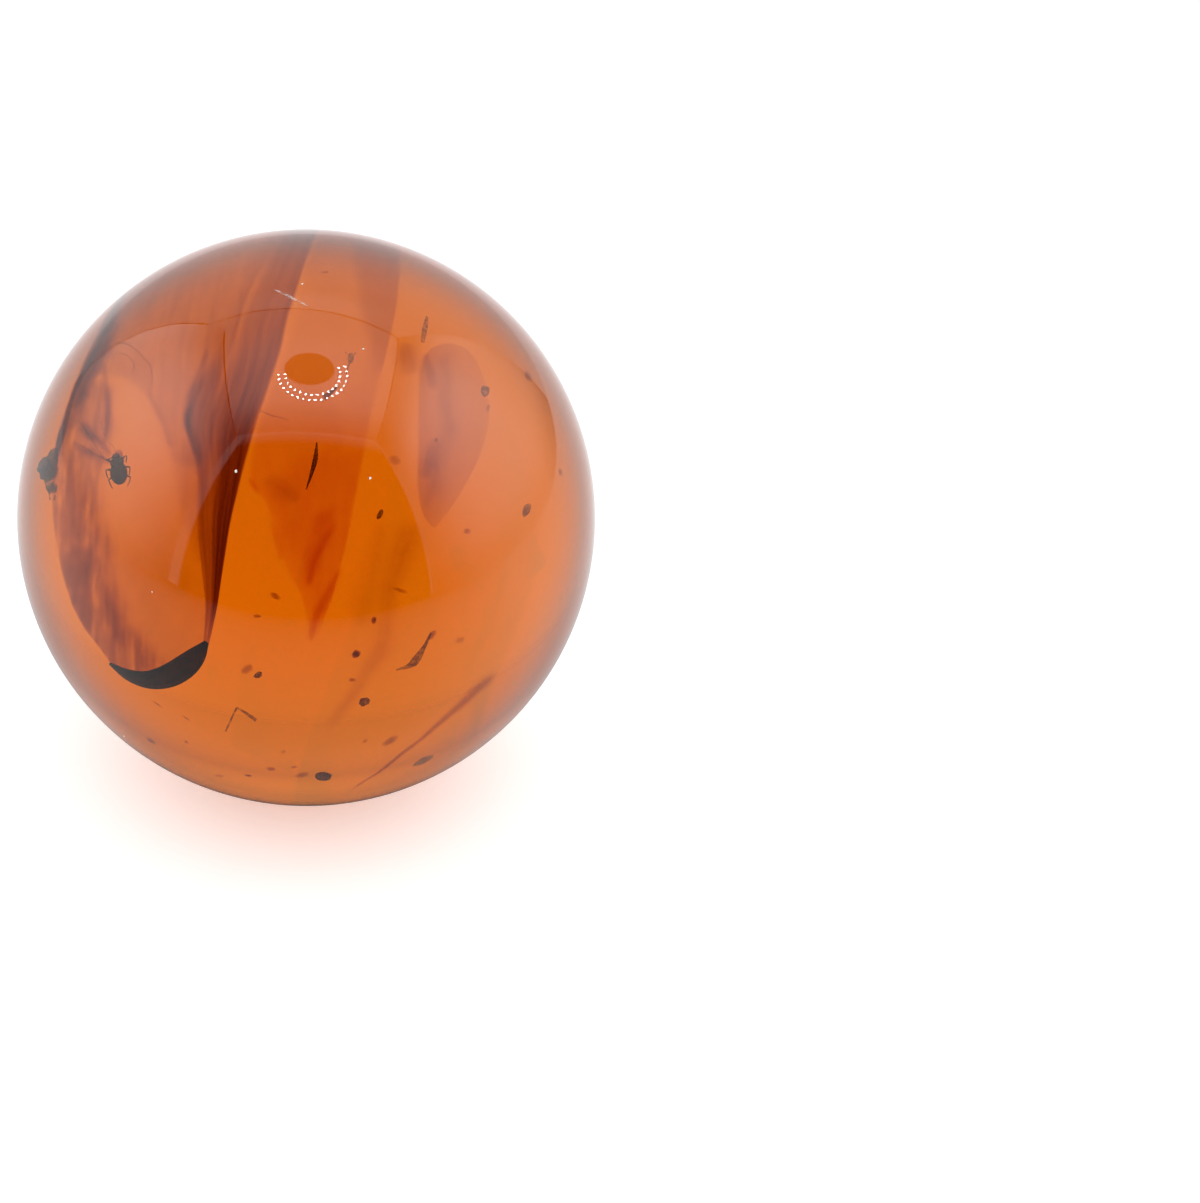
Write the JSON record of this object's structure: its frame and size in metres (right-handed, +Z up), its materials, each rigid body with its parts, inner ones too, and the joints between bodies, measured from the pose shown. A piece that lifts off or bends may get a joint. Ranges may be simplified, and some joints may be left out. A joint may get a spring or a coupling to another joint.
{
  "type": "insect in amber",
  "caption": "Polished ball of clear orange amber with a tiny dark insect, an older dark flow, a crescent of debris, bark, hairs and crumbs inside; it rests on a small flat.",
  "frame": {"origin": "middle of the ball's small flat foot", "axes": "+Z up out of the foot, -Y towards the side that shows the insect, +X to the right of that side"},
  "size_m": [0.019, 0.019, 0.0189],
  "materials": {
    "amber": "clear polished amber, IOR 1.54, orange by absorption",
    "dark_amber": "clear amber of an older flow, darker and redder by absorption",
    "insect": "dark brown chitin, satin",
    "debris": "dark brown plant debris, matte",
    "bark": "dark ragged bark, matte",
    "husk": "dull brown husk, matte"
  },
  "bodies": {
    "root": {"amber_front": "amber", "amber_back": "amber", "old_flow": "dark_amber", "insect": "insect", "insect_fragment": "insect", "bark_flake": "bark", "husk_flake": "husk", "debris_crescent": "debris", "splinter": "debris", "bent_hair": "debris", "bark_shred": "debris", "straw_bit": "debris", "wedge_bit": "debris", "crumb_1": "debris", "crumb_2": "debris", "crumb_3": "debris", "crumb_4": "debris", "crumb_5": "debris", "crumb_6": "debris"}
  },
  "joints": []
}
